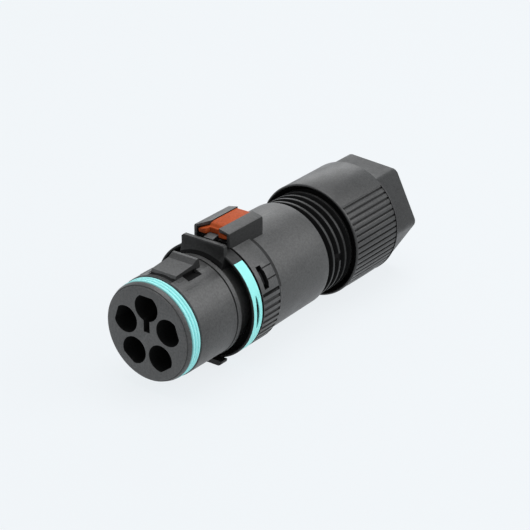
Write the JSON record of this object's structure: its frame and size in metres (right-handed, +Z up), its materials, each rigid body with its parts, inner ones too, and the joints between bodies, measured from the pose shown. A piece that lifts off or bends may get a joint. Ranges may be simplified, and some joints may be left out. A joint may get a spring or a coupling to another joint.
{
  "type": "circular power plug connector",
  "caption": "Round sealed power plug with socket contacts, a sliding latch release and a threaded cable gland at its rear.",
  "frame": {"origin": "centre of the flat mating face at the front of the contact insert", "axes": "+X from the mating face along the plug to the cable outlet, +Z up through the latch and the release slider"},
  "size_m": [0.115, 0.0376, 0.0416],
  "materials": {
    "insert_plastic": "fine matt",
    "housing_plastic": "fine matt",
    "block_plastic": "matt",
    "seal_rubber": "satin",
    "black_rubber": "matt",
    "band_plastic": "satin",
    "slider_plastic": "satin",
    "contact_metal": "turned",
    "spring_steel": "plain"
  },
  "bodies": {
    "plug_body": {"insert_sector_1": "insert_plastic", "insert_sector_2": "insert_plastic", "insert_sector_3": "insert_plastic", "insert_sector_4": "insert_plastic", "insert_sector_5": "insert_plastic", "front_barrel": "insert_plastic", "coupling_ring": "insert_plastic", "front_seal": "seal_rubber", "colour_band": "band_plastic", "terminal_block": "block_plastic", "socket_contact_1": "contact_metal", "socket_contact_2": "contact_metal", "socket_contact_3": "contact_metal", "socket_contact_4": "contact_metal", "socket_contact_5": "contact_metal", "contact_springs": "spring_steel", "terminal_clamp_1": "contact_metal", "terminal_clamp_2": "contact_metal", "terminal_clamp_3": "contact_metal", "terminal_clamp_4": "contact_metal", "terminal_clamp_5": "contact_metal", "terminal_screws": "spring_steel", "sleeve_seal": "black_rubber", "sleeve_housing": "housing_plastic", "latch_hook": "housing_plastic"},
    "slider": {"release_slider": "slider_plastic"},
    "clamp": {"clamp_cage": "block_plastic", "cable_seal": "black_rubber"},
    "nut": {"gland_nut": "housing_plastic"}
  },
  "joints": [
    {"name": "release_slide", "type": "slide", "parent": "plug_body", "child": "slider", "axis": [1, 0, 0], "range_m": [0, 0.004], "stiffness_N_per_m": 150, "springref_m": -0.003},
    {"name": "clamp_slide", "type": "slide", "parent": "plug_body", "child": "clamp", "axis": [-1, 0, 0], "range_m": [-0.0032, 0.0096]},
    {"name": "nut_turn", "type": "hinge", "parent": "clamp", "child": "nut", "pos_m": [0.09, 0, 0], "axis": [-1, 0, 0], "range_deg": [-360, 1080]}
  ],
  "couplings": [
    {"joint": "clamp_slide", "follows": "nut_turn", "m_per_rad": 0.00050929}
  ]
}
